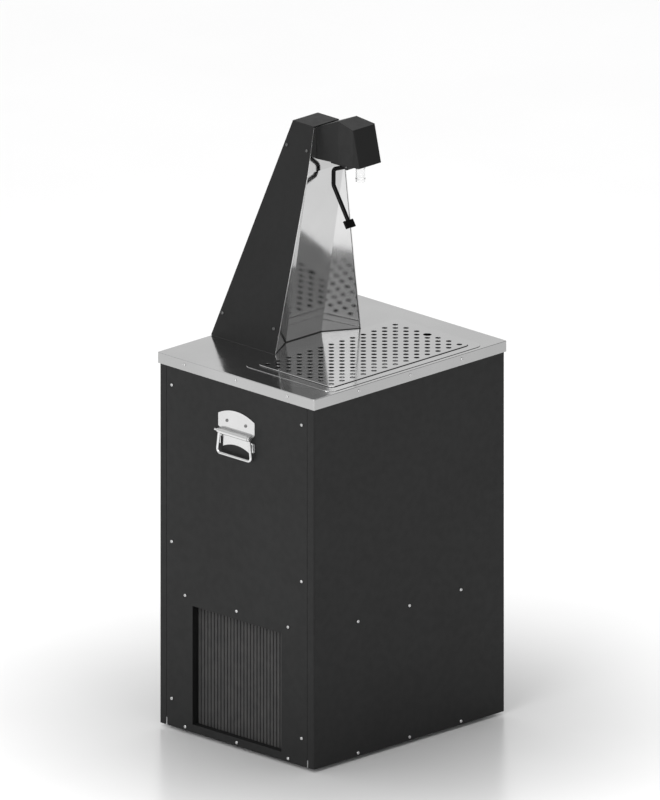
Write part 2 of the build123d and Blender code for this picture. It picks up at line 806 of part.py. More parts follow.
drain_low = tray_floor - 36
with BuildPart() as drain_fitting:
    with BuildSketch(Plane.XZ.offset(-tray_y)):
        with BuildLine():
            Polyline(
                (5, tray_floor + tray_sheet + 1.5),
                (14, tray_floor + tray_sheet + 1.5),
                (14, tray_floor + tray_sheet),
                (drain_bore_d / 2 - 0.1, tray_floor + tray_sheet),
                (drain_bore_d / 2 - 0.1, tray_floor),
                (16, tray_floor),
                (16, tray_floor - 8),
                (6.9, tray_floor - 8),
                (6.9, drain_low),
                (5, drain_low),
                close=True,
            )
        make_face()
    revolve(axis=Axis((0, tray_y, 0), (0, 0, 1)))
drain_fitting.part.label = "drain_fitting"
export_step(drain_fitting.part, "parts/drain_fitting.step")

drain_hose = tube(
    (
        (0, tray_y, tray_floor - 8.3),
        (0, tray_y, 748),
        (hose_riser_x, tray_y, 728),
        (hose_riser_x, tray_y, 60),
        (drain_at[0], bay_plate_y - 52.1, 60),
        (drain_at[0], bay_plate_y - 52.1, drain_at[1]),
        (drain_at[0], bay_plate_y - 2.3, drain_at[1]),
    ),
    (28, 40, 30, 18, 18),
    hose_d,
    14.0,
)
drain_hose.part.label = "drain_hose"
export_step(drain_hose.part, "parts/drain_hose.step")

# ----------------------------------------------------------------- tower
side_outline = [
    (front_edge(0), tower_z),
    (tower_rear_base, tower_z),
    (tower_rear_top, tower_z + tower_height),
    (tower_front_knee, tower_z + tower_height),
    (tower_front_knee, tower_z + tower_knee),
]
frame_front = 9.0          # inner frame stands back from the side plate's edges
frame_rear = 3.0
frame_band = 26.0
frame_top = tower_height - 6.0
frame_outline = [
    (front_edge(0) + frame_front, tower_z),
    (rear_edge(0) - frame_rear, tower_z),
    (rear_edge(frame_top) - frame_rear, tower_z + frame_top),
    (tower_front_knee + frame_front, tower_z + frame_top),
    (tower_front_knee + frame_front, tower_z + tower_knee),
]
frame_window = [
    (front_edge(40) + frame_front + frame_band, tower_z + 40),
    (rear_edge(40) - frame_rear - frame_band, tower_z + 40),
    (rear_edge(tower_knee + 5) - frame_rear - frame_band, tower_z + tower_knee + 5),
    (front_edge(tower_knee) + frame_front + frame_band - 2, tower_z + tower_knee + 5),
]
lean_cos = cos(atan2(tower_base_half - tower_top_half, tower_height))
tower_screw = pan_screw(7)
tower_faces = {}

with BuildPart() as tower_gasket:
    with BuildSketch(Plane.XY.offset(top_z)):
        with BuildLine():
            Polyline(
                (-tower_base_half, tower_front_base),
                (-face_half, face_base),
                (face_half, face_base),
                (tower_base_half, tower_front_base),
                (tower_base_half, tower_rear_base - 3),
                (-tower_base_half, tower_rear_base - 3),
                close=True,
            )
        make_face()
        with BuildSketch(mode=Mode.SUBTRACT):
            with BuildLine():
                Polyline(
                    (-tower_base_half + 8, tower_front_base + 16),
                    (-face_half - 2, face_base + 8),
                    (face_half + 2, face_base + 8),
                    (tower_base_half - 8, tower_front_base + 16),
                    (tower_base_half - 8, tower_rear_base - 11),
                    (-tower_base_half + 8, tower_rear_base - 11),
                    close=True,
                )
            make_face()
    extrude(amount=gasket)
tower_gasket.part.label = "tower_gasket"
export_step(tower_gasket.part, "parts/tower_gasket.step")

for name, side, face in SIDES:
    rise = Vector(-side * (tower_base_half - tower_top_half), 0, tower_height).normalized()
    outward = Vector(side * rise.Z, 0, -side * rise.X)
    outer = Plane(
        origin=(side * tower_base_half, 0, tower_z),
        x_dir=(0, side, 0),
        z_dir=outward,
    )
    tower_faces[name] = outer
    places = on_face(outer, [(side * y, height / lean_cos) for y, height in tower_screws])
    with BuildPart() as tower_side:
        with BuildSketch(Plane.YZ):
            with BuildLine():
                Polyline(*side_outline, close=True)
            make_face()
        extrude(amount=tower_base_half, both=True)
        with BuildSketch(Plane.XZ):
            with BuildLine():
                Polyline(*tower_slab(side, 0, tower_sheet), close=True)
            make_face()
        extrude(amount=400, both=True, mode=Mode.INTERSECT)
        with Locations(*places):
            Cylinder(screw_d / 2 + screw_clear, 20, mode=Mode.SUBTRACT)
    tower_side.part.label = f"{name}_tower_side"
    export_step(tower_side.part, f"parts/{name}_tower_side.step")

with BuildPart() as tower_frames:
    with BuildSketch(Plane.YZ):
        with BuildLine():
            Polyline(*frame_outline, close=True)
        make_face()
        with BuildSketch(Plane.YZ, mode=Mode.SUBTRACT):
            with BuildLine():
                Polyline(*frame_window, close=True)
            make_face()
    extrude(amount=tower_base_half, both=True)
    with BuildSketch(Plane.XZ):
        for side in (-1, 1):
            with BuildLine():
                Polyline(*tower_slab(side, tower_sheet, tower_sheet), close=True)
            make_face()
    extrude(amount=400, both=True, mode=Mode.INTERSECT)
    foot_in = 93.0
    foot_out = tower_base_half - 1.5 * tower_sheet
    for side in (-1, 1):
        with Locations((side * (foot_in + foot_out) / 2, 155, tower_z)):
            Box(foot_out - foot_in, 120, tower_sheet, align=UP)
    for name, side, face in SIDES:
        places = [(side * y, height / lean_cos) for y, height in tower_screws]
        with Locations(*on_face(tower_faces[name], places)):
            Cylinder(screw_d / 2 + screw_clear, 20, mode=Mode.SUBTRACT)
    with Locations(*[(x, y, tower_z) for x, y in tower_bolts]):
        Cylinder(screw_d / 2 + screw_clear, 20, mode=Mode.SUBTRACT)
tower_frames.part.label = "tower_frames"
export_step(tower_frames.part, "parts/tower_frames.step")

# Folded face: the middle facet leans forward, and a long triangle on each side
# runs out to the side plate and vanishes at the knee.
splay = (face_base - tower_front_base) / (tower_base_half - tower_sheet - face_half)
face_back = 1.8            # thickness of the sheet, front to rear


def face_band(height):
    """Outline of the folded face, cut level at a height above the gasket."""
    reach = tower_half(height) - tower_sheet
    share = height / tower_knee
    middle = face_base + (tower_front_knee - face_base) * share + face_set_back
    edge = middle - splay * (reach - face_half)
    front = [(-reach, edge), (-face_half, middle), (face_half, middle), (reach, edge)]
    return front + [(x, y + face_back) for x, y in reversed(front)]


with BuildPart() as tower_face:
    for height in (0, tower_knee):
        with BuildSketch(Plane.XY.offset(tower_z + height)):
            with BuildLine():
                Polyline(*face_band(height), close=True)
            make_face()
    loft(ruled=True)
    with BuildSketch(Plane.XZ.offset(-tower_front_knee - face_set_back)):
        with BuildLine():
            Polyline(
                (-tower_half(tower_knee) + tower_sheet, tower_z + tower_knee),
                (tower_half(tower_knee) - tower_sheet, tower_z + tower_knee),
                (tower_half(tower_height) - tower_sheet, tower_z + tower_height - tower_sheet),
                (-tower_half(tower_height) + tower_sheet, tower_z + tower_height - tower_sheet),
                close=True,
            )
        make_face()
    extrude(amount=-face_back)
    with Locations((0, tower_front_knee, head_z - 56.5)):
        Box(2 * window_half, 20, 44, align=UP, mode=Mode.SUBTRACT)
tower_face.part.label = "tower_face"
export_step(tower_face.part, "parts/tower_face.step")

with BuildPart() as tower_back:
    with BuildSketch(Plane.YZ):
        with BuildLine():
            Polyline(
                (rear_edge(0), tower_z),
                (rear_edge(tower_height - tower_sheet), tower_z + tower_height - tower_sheet),
                (rear_edge(tower_height - tower_sheet) - tower_sheet, tower_z + tower_height - tower_sheet),
                (rear_edge(0) - tower_sheet, tower_z),
                close=True,
            )
        make_face()
    extrude(amount=tower_base_half, both=True)
    with BuildSketch(Plane.XZ):
        with BuildLine():
            Polyline(*tower_wedge(tower_sheet), close=True)
        make_face()
    extrude(amount=400, both=True, mode=Mode.INTERSECT)
tower_back.part.label = "tower_back"
export_step(tower_back.part, "parts/tower_back.step")

with BuildPart() as tower_cap:
    cap_mid = (tower_front_knee + tower_rear_top) / 2
    cap_depth = tower_rear_top - tower_front_knee
    cap_under = tower_z + tower_height
    with Locations((0, cap_mid, cap_under)):
        Box(2 * tower_top_half, cap_depth, tower_sheet, align=UP)
    fillet(tower_cap.faces().sort_by(Axis.Z)[-1].edges(), 1.0)
    with Locations((0, cap_mid, cap_under)):
        Box(40, 30, cap_lip, align=DOWN)
        Box(40 - 2 * tower_sheet, 40, cap_lip, align=DOWN, mode=Mode.SUBTRACT)
tower_cap.part.label = "tower_cap"
export_step(tower_cap.part, "parts/tower_cap.step")

with BuildPart() as tower_screws_part:
    for name, side, face in SIDES:
        spots = [(side * y, height / lean_cos) for y, height in tower_screws]
        with Locations(*on_face(tower_faces[name], spots)):
            add(tower_screw)
tower_screws_part.part.label = "tower_screws"
export_step(tower_screws_part.part, "parts/tower_screws.step")

foot_bolt = pan_screw(8)
with BuildPart() as tower_foot_bolts:
    with Locations(*[(x, y, tower_z + tower_sheet) for x, y in tower_bolts]):
        add(foot_bolt)
tower_foot_bolts.part.label = "tower_foot_bolts"
export_step(tower_foot_bolts.part, "parts/tower_foot_bolts.step")

# ------------------------------------------------------------------ head
with BuildPart() as head_arm:
    arm_length = arm_plate_y - arm_front
    with Locations((0, (arm_front + arm_plate_y) / 2, arm_z)):
        Box(2 * arm_half, arm_length, arm_leg, align=DOWN)
    with Locations((0, (arm_front + arm_plate_y) / 2, arm_z - arm_sheet)):
        Box(2 * (arm_half - arm_sheet), arm_length + 10, arm_leg, align=DOWN, mode=Mode.SUBTRACT)
    plate_low = tower_height - 57.5
    plate_high = tower_height - 18.5
    inset = 2 * tower_sheet
    with BuildSketch(Plane.XZ.offset(-arm_plate_y)):
        with BuildLine():
            Polyline(
                (-tower_half(plate_low) + inset, tower_z + plate_low),
                (tower_half(plate_low) - inset, tower_z + plate_low),
                (tower_half(plate_high) - inset, tower_z + plate_high),
                (-tower_half(plate_high) + inset, tower_z + plate_high),
                close=True,
            )
        make_face()
    extrude(amount=-arm_sheet)
    with Locations((0, arm_plate_y, head_z - 42.5)):
        Box(20, 20, 22, mode=Mode.SUBTRACT)
    with Locations(*[(0, boss_y, arm_z) for boss_y in hood_boss_y]):
        Cylinder(screw_d / 2 + screw_clear, 10, mode=Mode.SUBTRACT)
head_arm.part.label = "head_arm"
export_step(head_arm.part, "parts/head_arm.step")

with BuildPart() as hood:
    with BuildSketch(Plane.YZ):
        with BuildLine():
            Polyline(
                (hood_front_low[0], head_z + hood_front_low[1]),
                (hood_front_high[0], head_z + hood_front_high[1]),
                (hood_ridge[0], head_z + hood_ridge[1]),
                (hood_back_high[0], head_z + hood_back_high[1]),
                (hood_back_high[0], head_z + hood_low),
                close=True,
            )
        make_face()
    extrude(amount=2 * hood_front_half, both=True)
    with BuildSketch(Plane.XY.offset(top_z)):
        with BuildLine():
            Polyline(
                (-hood_front_half, hood_front_low[0] - 10),
                (hood_front_half, hood_front_low[0] - 10),
                (hood_front_half, hood_front_high[0]),
                (hood_ridge_half, hood_ridge[0]),
                (hood_back_half, hood_back_high[0] + 10),
                (-hood_back_half, hood_back_high[0] + 10),
                (-hood_ridge_half, hood_ridge[0]),
                (-hood_front_half, hood_front_high[0]),
                close=True,
            )
        make_face()
    extrude(amount=2 * tower_height, mode=Mode.INTERSECT)
    front_corners = hood.edges().filter_by(
        lambda edge: abs(edge.center().X) > hood_front_half - 0.1
        and edge.center().Y < hood_front_high[0] - 5
        and edge.length > 50
    )
    fillet(front_corners, hood_bend)
    hood_open = [
        hood.faces().filter_by(lambda f: f.normal_at().Z < -0.9).sort_by(Axis.Z)[0],
        hood.faces().sort_by(Axis.Y)[-1],
    ]
    offset(amount=-hood_wall, openings=hood_open)
    for boss_y in hood_boss_y:
        with BuildSketch(Plane.XY.offset(arm_z)):
            with Locations((0, boss_y)):
                Circle(5)
        extrude(until=Until.NEXT)
    with Locations(*[(0, boss_y, arm_z) for boss_y in hood_boss_y]):
        Cylinder(screw_d / 2 + screw_clear, 22, mode=Mode.SUBTRACT)
hood.part.label = "hood"
export_step(hood.part, "parts/hood.step")

with BuildPart() as valve_body:
    web_under = arm_z - arm_sheet
    with Locations((0, (valve_front + valve_rear) / 2, valve_step)):
        Box(2 * valve_half, valve_rear - valve_front, valve_top - valve_step, align=UP)
    with Locations((0, (valve_low_front + valve_rear) / 2, valve_low)):
        Box(2 * valve_half, valve_rear - valve_low_front, valve_step - valve_low, align=UP)
    with Locations(*[(0, boss_y, valve_top) for boss_y in valve_boss_y]):
        Cylinder(6, web_under - valve_top, align=UP)
    with Locations(Location((0, *lever_pivot), (0, 90, 0))):
        Cylinder(lever_eye_r, 2 * valve_half)
    nozzle_bore = nozzle_d - 2 * nozzle_wall
    with Locations((0, nozzle_y, valve_step)):
        Cylinder(nozzle_bore / 2 - running, spigot_length, align=DOWN)
    fillet(valve_body.edges().filter_by(Axis.Z).group_by(Axis.Y)[0], 3)
    slot_length = valve_rear - valve_low_front + 20
    with Locations((0, (valve_rear + valve_low_front) / 2, lever_slot_top)):
        Box(2 * lever_slot_half, slot_length, 30, align=DOWN, mode=Mode.SUBTRACT)
    with Locations(Location((0, *lever_pivot), (0, 90, 0))):
        Cylinder(lever_pin_d / 2 + running / 2, 4 * valve_half, mode=Mode.SUBTRACT)
        Cylinder(lever_eye_r + 0.5, 2 * lever_slot_half, mode=Mode.SUBTRACT)
    with Locations((0, plunger_y, plunger_seat)):
        Cylinder(plunger_bore_d / 2, plunger_bore_top - plunger_seat, align=UP, mode=Mode.SUBTRACT)
        Cylinder(plunger_d / 2 + running, 20, mode=Mode.SUBTRACT)
    with Locations((0, nozzle_y, valve_step - spigot_length)):
        Cylinder(4, 20, align=UP, mode=Mode.SUBTRACT)
    channel_z = head_z - 52.5
    with Locations(Location((0, nozzle_y, channel_z), (-90, 0, 0))):
        Cylinder(3, plunger_y - nozzle_y, align=UP, mode=Mode.SUBTRACT)
    with Locations((0, nozzle_y, channel_z)):
        Sphere(4, mode=Mode.SUBTRACT)
    with Locations(Location((0, plunger_y, head_z - 44.5), (-90, 0, 0))):
        Cylinder(3, 40, align=UP, mode=Mode.SUBTRACT)
    with Locations((0, plunger_y, plunger_bore_top)):
        Cylinder(3, 4, align=UP, mode=Mode.SUBTRACT)
valve_body.part.label = "valve_body"
export_step(valve_body.part, "parts/valve_body.step")

with BuildPart() as nozzle:
    tip = nozzle_low
    top_of_nozzle = valve_step - 0.3
    outer_r = nozzle_d / 2
    tip_r = nozzle_tip_d / 2
    shoulder = valve_step - spigot_length - 3
    with BuildSketch(Plane.XZ.offset(-nozzle_y)):
        with BuildLine():
            Polyline(
                (nozzle_bore / 2, top_of_nozzle),
                (outer_r, top_of_nozzle),
                (outer_r, shoulder),
                (tip_r, shoulder - 2),
                (tip_r, tip + nozzle_ring + 1.2),
                (tip_r + 0.6, tip + nozzle_ring + 0.6),
                (tip_r + 0.6, tip + nozzle_ring - 0.6),
                (tip_r, tip + nozzle_ring - 1.2),
                (tip_r, tip),
                (tip_r - nozzle_wall, tip),
                (tip_r - nozzle_wall, shoulder - 2),
                (nozzle_bore / 2, shoulder),
                close=True,
            )
        make_face()
    revolve(axis=Axis((0, nozzle_y, 0), (0, 0, 1)))
nozzle.part.label = "nozzle"
export_step(nozzle.part, "parts/nozzle.step")

lever_points = [(0, y, z) for y, z in (lever_pivot, *lever_bends)]
last_y = lever_bends[2][0] - lever_bends[1][0]
last_z = lever_bends[2][1] - lever_bends[1][1]
last_run = hypot(last_y, last_z)
paddle_mid = (
    0,
    lever_bends[2][0] + 9 * last_y / last_run,
    lever_bends[2][1] + 9 * last_z / last_run,
)
with BuildPart() as lever:
    with BuildLine() as lever_route:
        FilletPolyline(*lever_points, radius=(10, 14))
    with BuildSketch(Plane(origin=lever_route.line @ 0, z_dir=lever_route.line % 0)):
        Circle(lever_d / 2)
    sweep()
    with Locations(Location((0, *lever_pivot), (0, 90, 0))):
        Cylinder(lever_eye_r, 2 * lever_eye_half)
        Cylinder(lever_pin_d / 2 + running, 4 * lever_eye_half, mode=Mode.SUBTRACT)
    with Locations(Plane(origin=paddle_mid, x_dir=(1, 0, 0), z_dir=(0, last_y, last_z)).location):
        Box(paddle[0], paddle[2], paddle[1])
lever.part.label = "lever"
export_step(lever.part, "parts/lever.step")

with BuildPart() as lever_pin:
    with Locations(Location((0, *lever_pivot), (0, 90, 0))):
        Cylinder(lever_pin_d / 2, 2 * valve_half + 2)
    chamfer(lever_pin.edges().filter_by(GeomType.CIRCLE), 0.6)
lever_pin.part.label = "lever_pin"
export_step(lever_pin.part, "parts/lever_pin.step")

# The stem's round end stands on the lever; the collar seats on the bore's floor.
lever_fall = atan2(lever_pivot[1] - lever_bends[0][1], lever_bends[0][0] - lever_pivot[0])
stem_reach = plunger_y - lever_pivot[0]
stem_ball_z = (
    lever_pivot[1]
    - stem_reach * (lever_pivot[1] - lever_bends[0][1]) / (lever_bends[0][0] - lever_pivot[0])
    + (lever_d / 2 + plunger_d / 2 + running) / cos(lever_fall)
)
with BuildPart() as valve_plunger:
    with Locations((0, plunger_y, stem_ball_z)):
        Sphere(plunger_d / 2)
        Cylinder(plunger_d / 2, plunger_top - stem_ball_z, align=UP)
    with Locations((0, plunger_y, plunger_seat + 0.1)):
        Cylinder(plunger_collar_d / 2, 3, align=UP)
valve_plunger.part.label = "valve_plunger"
export_step(valve_plunger.part, "parts/valve_plunger.step")

spring_low = plunger_seat + 3.2 + spring_wire / 2
spring_high = plunger_bore_top - 0.1 - spring_wire / 2
spring_half = 4.1
spring_points = [
    (x, y + plunger_y, z)
    for x, y, z in loops(
        spring_half, spring_half, spring_low, (spring_high - spring_low) / spring_turns, spring_turns
    )
]
spring_points[0] = (0, plunger_y + spring_half, spring_low)
spring_points[-1] = (spring_half, plunger_y, spring_high)
valve_spring = tube(spring_points, 3.6, spring_wire, 0)
valve_spring.part.label = "valve_spring"
export_step(valve_spring.part, "parts/valve_spring.step")

hood_screw = pan_screw(12)
with BuildPart() as hood_screws:
    with Locations(*[Location((0, boss_y, web_under), (180, 0, 0)) for boss_y in hood_boss_y]):
        add(hood_screw)
hood_screws.part.label = "hood_screws"
export_step(hood_screws.part, "parts/hood_screws.step")

# -------------------------------------------------------- ice-bank tank
tank_z = shelf_z + frame_sheet
lid_top = top_z - tank_under_top
tank_top = lid_top - lid_height
tank_height = tank_top - tank_z
tank_in_x = tank_width / 2 - tank_wall
tank_in_y = tank_depth / 2 - tank_wall
coil_low = tank_z + tank_wall + 40
with BuildPart() as tank_insulation:
    with Locations((0, 0, tank_z)):
        Box(tank_width, tank_depth, tank_height, align=UP)
    fillet(tank_insulation.edges().filter_by(Axis.Z), 12)
    with Locations((0, 0, tank_z + tank_wall)):
        Box(2 * tank_in_x, 2 * tank_in_y, tank_height, align=UP, mode=Mode.SUBTRACT)
tank_insulation.part.label = "tank_insulation"
export_step(tank_insulation.part, "parts/tank_insulation.step")

with BuildPart() as tank_liner:
    with Locations((0, 0, tank_z + tank_wall)):
        Box(2 * tank_in_x, 2 * tank_in_y, tank_height - tank_wall, align=UP)
    with Locations((0, 0, tank_z + tank_wall + tank_steel)):
        Box(
            2 * (tank_in_x - tank_steel),
            2 * (tank_in_y - tank_steel),
            tank_height,
            align=UP,
            mode=Mode.SUBTRACT,
        )
tank_liner.part.label = "tank_liner"
export_step(tank_liner.part, "parts/tank_liner.step")

liquid_at = (coil_half_x + 25, coil_half_y)
suction_at = (coil_half_x, coil_half_y)
water_in_at = (inner_coil_half_x, inner_coil_half_y)
riser_at = (inner_coil_half_x - 40, inner_coil_half_y - 60)
with BuildPart() as tank_lid:
    with Locations((0, 0, tank_top)):
        Box(tank_width, tank_depth, lid_height, align=UP)
    fillet(tank_lid.edges().filter_by(Axis.Z), 12)
    with Locations(*[(x, y, tank_top) for x, y in (liquid_at, suction_at, water_in_at, riser_at)]):
        Cylinder(supply_d / 2 + 0.5, 3 * lid_height, mode=Mode.SUBTRACT)
    with Locations((*agitator_at, tank_top)):
        Cylinder(agitator_shaft_d / 2 + 2, 3 * lid_height, mode=Mode.SUBTRACT)
tank_lid.part.label = "tank_lid"
export_step(tank_lid.part, "parts/tank_lid.step")

# Refrigerant: compressor to condenser, condenser to the coil in the tank, and
# from the coil's top back to the compressor.
stub = condenser_half + 1
evaporator_points = loops(coil_half_x, coil_half_y, coil_low, coil_pitch, coil_turns)
evaporator_points[0] = (*liquid_at, coil_low)
joint_z = lid_top + 25
evaporator_points = [(*liquid_at, joint_z)] + evaporator_points + [(*suction_at, joint_z)]
evaporator_coil = tube(evaporator_points, 20, coil_tube_d, coil_tube_d - 2)
discharge_line = tube(
    (
        (compressor_at[0] - compressor_d / 2 - 0.3, compressor_at[1], 70),
        (-140, compressor_at[1], 70),
        (-140, -150, 70),
        (-condenser_mid, -150, 70),
        (-condenser_mid, -150, 250),
        (-condenser_mid, -stub, 250),
    ),
    (20, 20, 20, 10),
    pipe_d,
    pipe_d - 2,
)
liquid_line = tube(
    (
        (-condenser_mid, stub, 50),
        (-condenser_mid, liquid_riser_y, 50),
        (-condenser_mid, liquid_riser_y, joint_z + 15),
        (liquid_at[0], liquid_riser_y, joint_z + 15),
        (liquid_at[0], liquid_at[1], joint_z + 15),
        (*liquid_at, joint_z + 0.3),
    ),
    (15, 25, 20, 10),
    pipe_d,
    pipe_d - 2,
)
suction_line = tube(
    (
        (*suction_at, joint_z + 0.3),
        (*suction_at, joint_z + 38),
        (suction_riser_x, suction_at[1], joint_z + 38),
        (suction_riser_x, suction_at[1], 100),
        (suction_riser_x, compressor_at[1], 100),
        (compressor_at[0] + compressor_d / 2 + 0.3, compressor_at[1], 100),
    ),
    (20, 25, 30, 30),
    pipe_d + 2,
    pipe_d,
)
with BuildPart() as refrigerant_circuit:
    add(evaporator_coil.part)
    add(discharge_line.part)
    add(liquid_line.part)
    add(suction_line.part)
refrigerant_circuit.part.label = "refrigerant_circuit"
export_step(refrigerant_circuit.part, "parts/refrigerant_circuit.step")

# Drinking water: valve to the inner coil, and from its foot up to the tap.
inner_turns = 7
inner_points = loops(inner_coil_half_x, inner_coil_half_y, coil_low + 8, coil_pitch, inner_turns)
inner_low = coil_low + 8
inner_points = (
    [(*riser_at, lid_top + 60), (*riser_at, inner_low), (inner_coil_half_x, riser_at[1], inner_low)]
    + inner_points
    + [(*water_in_at, lid_top + 60)]
)
product_coil = tube(inner_points, 15, coil_tube_d, coil_tube_d - 2)
inlet_tube = tube(
    (
        (water_at[0], water_valve_y, 121.3),
        (water_at[0], water_valve_y, lid_top + 85),
        (*water_in_at, lid_top + 85),
        (*water_in_at, lid_top + 60.3),
    ),
    (25, 12),
    coil_tube_d,
    coil_tube_d - 2,
)
supply_tube = tube(
    (
        (*riser_at, lid_top + 60.3),
        (*riser_at, top_z - 65),
        (0, tube_rise_y, top_z - 65),
        (0, tube_rise_y, top_z + 25),
        (0, 72, head_z - 44.5),
        (0, valve_rear + 0.3, head_z - 44.5),
    ),
    (25, 25, 40, 25),
    coil_tube_d,
    coil_tube_d - 2,
)
with BuildPart() as water_line:
    add(product_coil.part)
    add(inlet_tube.part)
    add(supply_tube.part)
water_line.part.label = "water_line"
export_step(water_line.part, "parts/water_line.step")

with BuildPart() as agitator_motor:
    with Locations((*agitator_at, lid_top)):
        Cylinder(motor_d / 2 + 8, 4, align=UP)
        Cylinder(motor_d / 2, 78, align=UP)
    fillet(agitator_motor.faces().sort_by(Axis.Z)[-1].edges(), 8)
    with Locations((*agitator_at, lid_top)):
        Cylinder(agitator_shaft_d / 2 + running, 2 * 30, mode=Mode.SUBTRACT)
agitator_motor.part.label = "agitator_motor"
export_step(agitator_motor.part, "parts/agitator_motor.step")

with BuildPart() as agitator:
    agitator_low = coil_low + 60
    with Locations((*agitator_at, agitator_low)):
        Cylinder(agitator_shaft_d / 2, lid_top + 29.5 - agitator_low, align=UP)
        Cylinder(9, 16, align=UP)
    for turn in (0, 90, 180, 270):
        blade = Location((*agitator_at, agitator_low + 8), (0, 0, turn)) * Location((18, 0, 0), (35, 0, 0))
        with Locations(blade):
            Box(26, 2, 15)
agitator.part.label = "agitator"
export_step(agitator.part, "parts/agitator.step")

# --------------------------------------------- air path and compressor
pan_floor = foot_height + frame_sheet
fin_pitch = 11.25
with BuildPart() as condenser:
    with Locations((-condenser_mid, 0, vent_z)):
        with GridLocations(0, fin_pitch, 1, 23):
            Box(condenser_depth, 1.5, vent_height)
        for column in (-10, 10):
            for row in range(6):
                with Locations(Location((column, 0, (row - 2.5) * 42), (90, 0, 0))):
                    Cylinder(5, 2 * condenser_half - 1)
    for side_y in (-1, 1):
        with Locations((-condenser_mid, side_y * (condenser_half - 0.75), pan_floor)):
            Box(condenser_depth, 1.5, vent_bottom + vent_height - pan_floor, align=UP)
    with Locations(
        Location((-condenser_mid, -condenser_half, 250), (90, 0, 0)),
        Location((-condenser_mid, condenser_half, 50), (90, 0, 0)),
    ):
        Cylinder(4, 1.4)
condenser.part.label = "condenser"
export_step(condenser.part, "parts/condenser.step")

shroud_out = condenser_out - condenser_depth
shroud_in = shroud_out - shroud_depth
shroud_top = vent_bottom + vent_height
ring_d = fan_d + 2 * fan_tip_gap
with BuildPart() as fan_shroud:
    with Locations((-(shroud_out + shroud_in) / 2, 0, pan_floor)):
        Box(shroud_depth, 2 * condenser_half, shroud_top - pan_floor, align=UP)
    with Locations((-(shroud_out + shroud_in) / 2 - panel_sheet, 0, pan_floor + panel_sheet)):
        Box(
            shroud_depth,
            2 * (condenser_half - panel_sheet),
            shroud_top - pan_floor - 2 * panel_sheet,
            align=UP,
            mode=Mode.SUBTRACT,
        )
    with Locations(Location((-shroud_in, 0, fan_z), (0, 90, 0))):
        Cylinder(ring_d / 2, 40, mode=Mode.SUBTRACT)
fan_shroud.part.label = "fan_shroud"
export_step(fan_shroud.part, "parts/fan_shroud.step")

motor_face = shroud_in - 6
with BuildPart() as fan_motor:
    with Locations(Location((-motor_face, 0, fan_z), (0, 90, 0))):
        Cylinder(motor_d / 2, 50, align=UP)
    fillet(fan_motor.faces().sort_by(Axis.X)[-1].edges(), 8)
    for turn in (45, 135):
        with Locations(Location((-shroud_in + 3, 0, fan_z), (turn, 0, 0))):
            Box(6, 2 * (ring_d / 2 + 8), 12)
    with Locations(Location((-shroud_in, 0, fan_z), (0, 90, 0))):
        Cylinder(fan_shaft_d / 2 + running, 30, align=UP, mode=Mode.SUBTRACT)
fan_motor.part.label = "fan_motor"
export_step(fan_motor.part, "parts/fan_motor.step")

with BuildPart() as fan:
    fan_x = -shroud_in - 12
    with Locations(Location((fan_x, 0, fan_z), (0, 90, 0))):
        Cylinder(fan_hub_d / 2, 18)
        Cylinder(fan_shaft_d / 2, 40, align=UP)
    for blade in range(fan_blades):
        spin = Location((fan_x, 0, fan_z), (360 / fan_blades * blade, 0, 0))
        tilt = Location((0, 0, (fan_d + fan_hub_d) / 4 - 2), (0, 0, 28))
        with Locations(spin * tilt):
            Box(2.5, 34, (fan_d - fan_hub_d) / 2 - 4)
fan.part.label = "fan"
export_step(fan.part, "parts/fan.step")

with BuildPart() as compressor:
    with Locations((*compressor_at, compressor_low)):
        Cylinder(compressor_d / 2, compressor_high - compressor_low, align=UP)
    fillet(compressor.edges().filter_by(GeomType.CIRCLE), 28)
    inside = compressor_d / 2 - compressor_shell
    with Locations((*compressor_at, compressor_low + compressor_shell)):
        Cylinder(
            inside,
            compressor_high - compressor_low - 2 * compressor_shell,
            align=UP,
            mode=Mode.SUBTRACT,
        )
    with Locations((*compressor_at, compressor_low)):
        Cylinder(60, 12, align=(Align.CENTER, Align.CENTER, Align.CENTER))
    with Locations((*compressor_at, compressor_low - 6)):
        Box(170, 150, 3, align=DOWN)
    with Locations((*compressor_at, pan_floor)):
        with GridLocations(140, 120, 2, 2):
            Cylinder(11, compressor_low - 9 - pan_floor, align=UP)
compressor.part.label = "compressor"
export_step(compressor.part, "parts/compressor.step")

# ---------------------------------------------------- connection bay
with BuildPart() as service_bay:
    bay_z = bay_bottom + bay_height / 2
    with BuildSketch(REAR.offset(-panel_sheet)):
        with Locations((-bay_x, bay_z)):
            Rectangle(bay_width + 2 * panel_sheet, bay_height + 2 * panel_sheet)
    extrude(amount=panel_sheet - bay_depth - panel_sheet)
    with BuildSketch(REAR):
        with Locations((-bay_x, bay_z)):
            Rectangle(bay_width, bay_height)
    extrude(amount=-bay_depth, mode=Mode.SUBTRACT)
    with BuildSketch(REAR):
        with Locations((-water_at[0], water_at[1])):
            Circle(water_d / 2 - 1)
        with Locations((-drain_at[0], drain_at[1])):
            Circle(drain_d / 2)
            Circle(drain_d / 2 - 2.3, mode=Mode.SUBTRACT)
        with Locations((-socket_at[0], socket_at[1])):
            Rectangle(48.6, 28.6)
        with Locations((-rocker_at[0], rocker_at[1])):
            Rectangle(30.6, 28.6)
    extrude(amount=-2 * bay_depth, mode=Mode.SUBTRACT)
    with BuildSketch(REAR.offset(-bay_depth - panel_sheet)):
        with Locations((-drain_at[0], drain_at[1])):
            Circle(drain_d / 2)
            Circle(drain_d / 2 - 2.3, mode=Mode.SUBTRACT)
    extrude(amount=spigot_reach + panel_sheet)
service_bay.part.label = "service_bay"
export_step(service_bay.part, "parts/service_bay.step")

